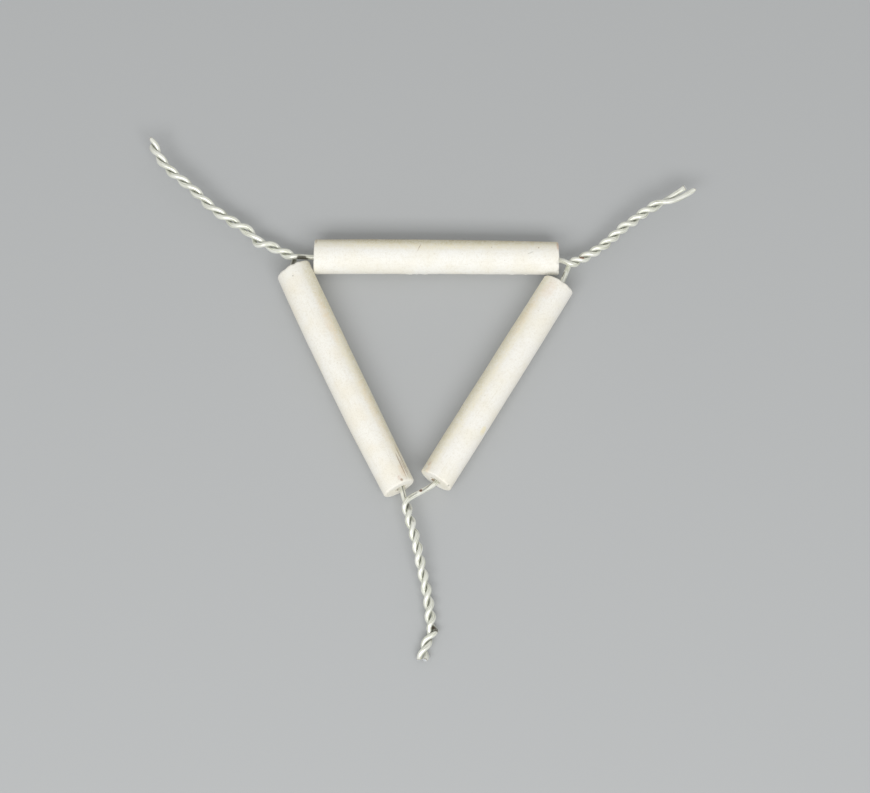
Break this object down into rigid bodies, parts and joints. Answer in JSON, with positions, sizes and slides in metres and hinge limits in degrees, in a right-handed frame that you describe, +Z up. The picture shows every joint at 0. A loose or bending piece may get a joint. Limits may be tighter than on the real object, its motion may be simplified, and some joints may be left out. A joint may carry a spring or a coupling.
{
  "type": "pipe clay triangle",
  "caption": "Triangle of unglazed clay tubes on wires twisted together at the corners, which carries a crucible over a burner.",
  "frame": {"origin": "centre of the circle inscribed between the tubes' axes, on the ground that the triangle lies on", "axes": "+X along the back tube towards the right tail, +Y from the front tail towards the back tube, +Z up through the opening"},
  "size_m": [0.1358, 0.1317, 0.009],
  "materials": {
    "back_clay": "matt unglazed clay, a little stained",
    "left_clay": "matt unglazed clay, warm and a little stained",
    "right_clay": "matt unglazed clay, a little stained",
    "galvanised_wire": "dull galvanised steel with small rust spots"
  },
  "bodies": {
    "root": {"back_tube": "back_clay", "left_tube": "left_clay", "right_tube": "right_clay", "back_wire": "galvanised_wire", "left_wire": "galvanised_wire", "right_wire": "galvanised_wire"}
  },
  "joints": []
}
